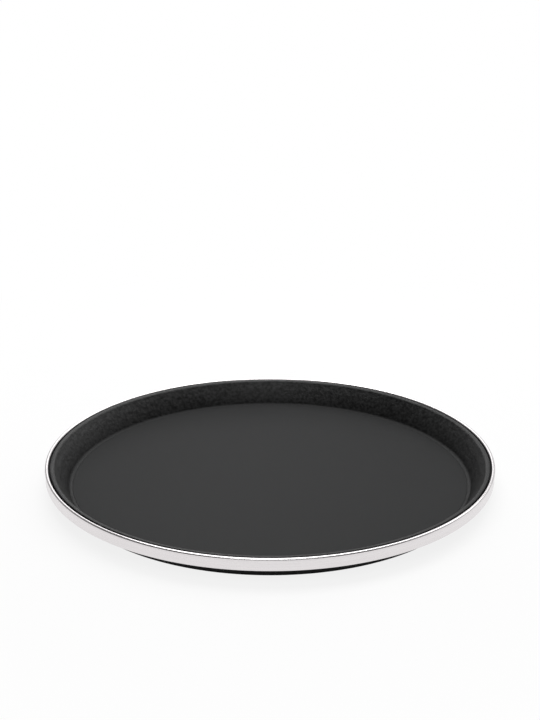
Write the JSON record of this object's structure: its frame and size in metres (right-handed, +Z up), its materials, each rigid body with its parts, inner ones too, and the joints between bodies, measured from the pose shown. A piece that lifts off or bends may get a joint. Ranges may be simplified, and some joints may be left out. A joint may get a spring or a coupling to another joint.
{
  "type": "serving tray",
  "caption": "Round black serving tray with a raised lip, a bonded non-slip rubber mat and a stainless steel rim band with a rolled bead, for carrying drinks and dishes.",
  "frame": {"origin": "centre of the plane that the foot ring stands on, the bottom centre of the tray's box", "axes": "+Z up along the tray's axis, +Y towards the band's seam at the back, -Y towards the front"},
  "size_m": [0.4, 0.4, 0.025],
  "materials": {
    "pan_plastic": "black glass-fibre reinforced plastic with a fine leathery grain",
    "mat_rubber": "smooth matte dark grey rubber",
    "bond_adhesive": "cured adhesive, dull amber",
    "band_steel": "stainless sheet, fine brushing along its length",
    "wire_steel": "plain drawn steel",
    "strap_steel": "plain rolled stainless strip"
  },
  "bodies": {
    "root": {"tray_pan": "pan_plastic", "grip_mat": "mat_rubber", "mat_bond_film": "bond_adhesive", "rim_band": "band_steel", "rim_wire": "wire_steel", "band_joint_strap": "strap_steel"}
  },
  "joints": []
}
